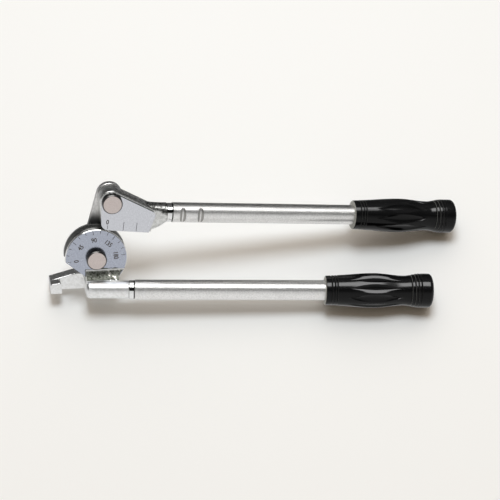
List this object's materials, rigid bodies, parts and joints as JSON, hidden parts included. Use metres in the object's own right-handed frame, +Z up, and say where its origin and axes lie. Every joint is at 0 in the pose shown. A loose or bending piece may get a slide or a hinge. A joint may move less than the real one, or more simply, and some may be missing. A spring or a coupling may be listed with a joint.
{
  "type": "manual tube bender",
  "caption": "Hand tube bender: grooved form wheel with hook on one handle, swinging link, and bending shoe on the other handle.",
  "frame": {"origin": "on the bench under the middle of the tool's bounding box, as it rests closed on both grips and the foot of the form wheel", "axes": "+Z up from the bench, +X along the form handle towards its grip, +Y from the form handle towards the bending shoe"},
  "size_m": [0.3224, 0.0936, 0.0795],
  "materials": {
    "forged_steel": "satin plated forging, smooth machined faces",
    "handle_tube": "fine blasted satin plating",
    "polished_collar": "polished",
    "link_steel": "satin plated plate",
    "pin_steel": "turned, bevelled end",
    "washer_steel": "plain plated",
    "bronze_bush": "sintered",
    "plug_plastic": "moulded",
    "grip_vinyl": "glossy dipped vinyl"
  },
  "bodies": {
    "form_handle": {"form_wheel": "forged_steel", "form_collar": "polished_collar", "form_handle_tube": "handle_tube", "form_handle_plug": "plug_plastic", "form_handle_grip": "grip_vinyl", "wheel_bush": "bronze_bush"},
    "link": {"link_plate": "link_steel", "wheel_pin": "pin_steel", "shoe_pin": "pin_steel", "wheel_thrust_washer": "bronze_bush", "shoe_thrust_washer": "bronze_bush", "wheel_rivet_washer": "washer_steel", "shoe_rivet_washer": "washer_steel"},
    "shoe_handle": {"shoe_block": "forged_steel", "shoe_bush": "bronze_bush", "shoe_collar": "polished_collar", "shoe_handle_tube": "handle_tube", "shoe_handle_plug": "plug_plastic", "shoe_handle_grip": "grip_vinyl"}
  },
  "joints": [
    {"name": "link_swing", "type": "hinge", "parent": "form_handle", "child": "link", "pos_m": [-0.12391, -0.00898, 0.03203], "axis": [0.16, -0.7865, 0.5965], "range_deg": [-70, 112]},
    {"name": "shoe_pivot", "type": "hinge", "parent": "link", "child": "shoe_handle", "pos_m": [-0.11093, 0.01989, 0.06663], "axis": [0.16, -0.7865, 0.5965], "range_deg": [-14, 150]}
  ]
}
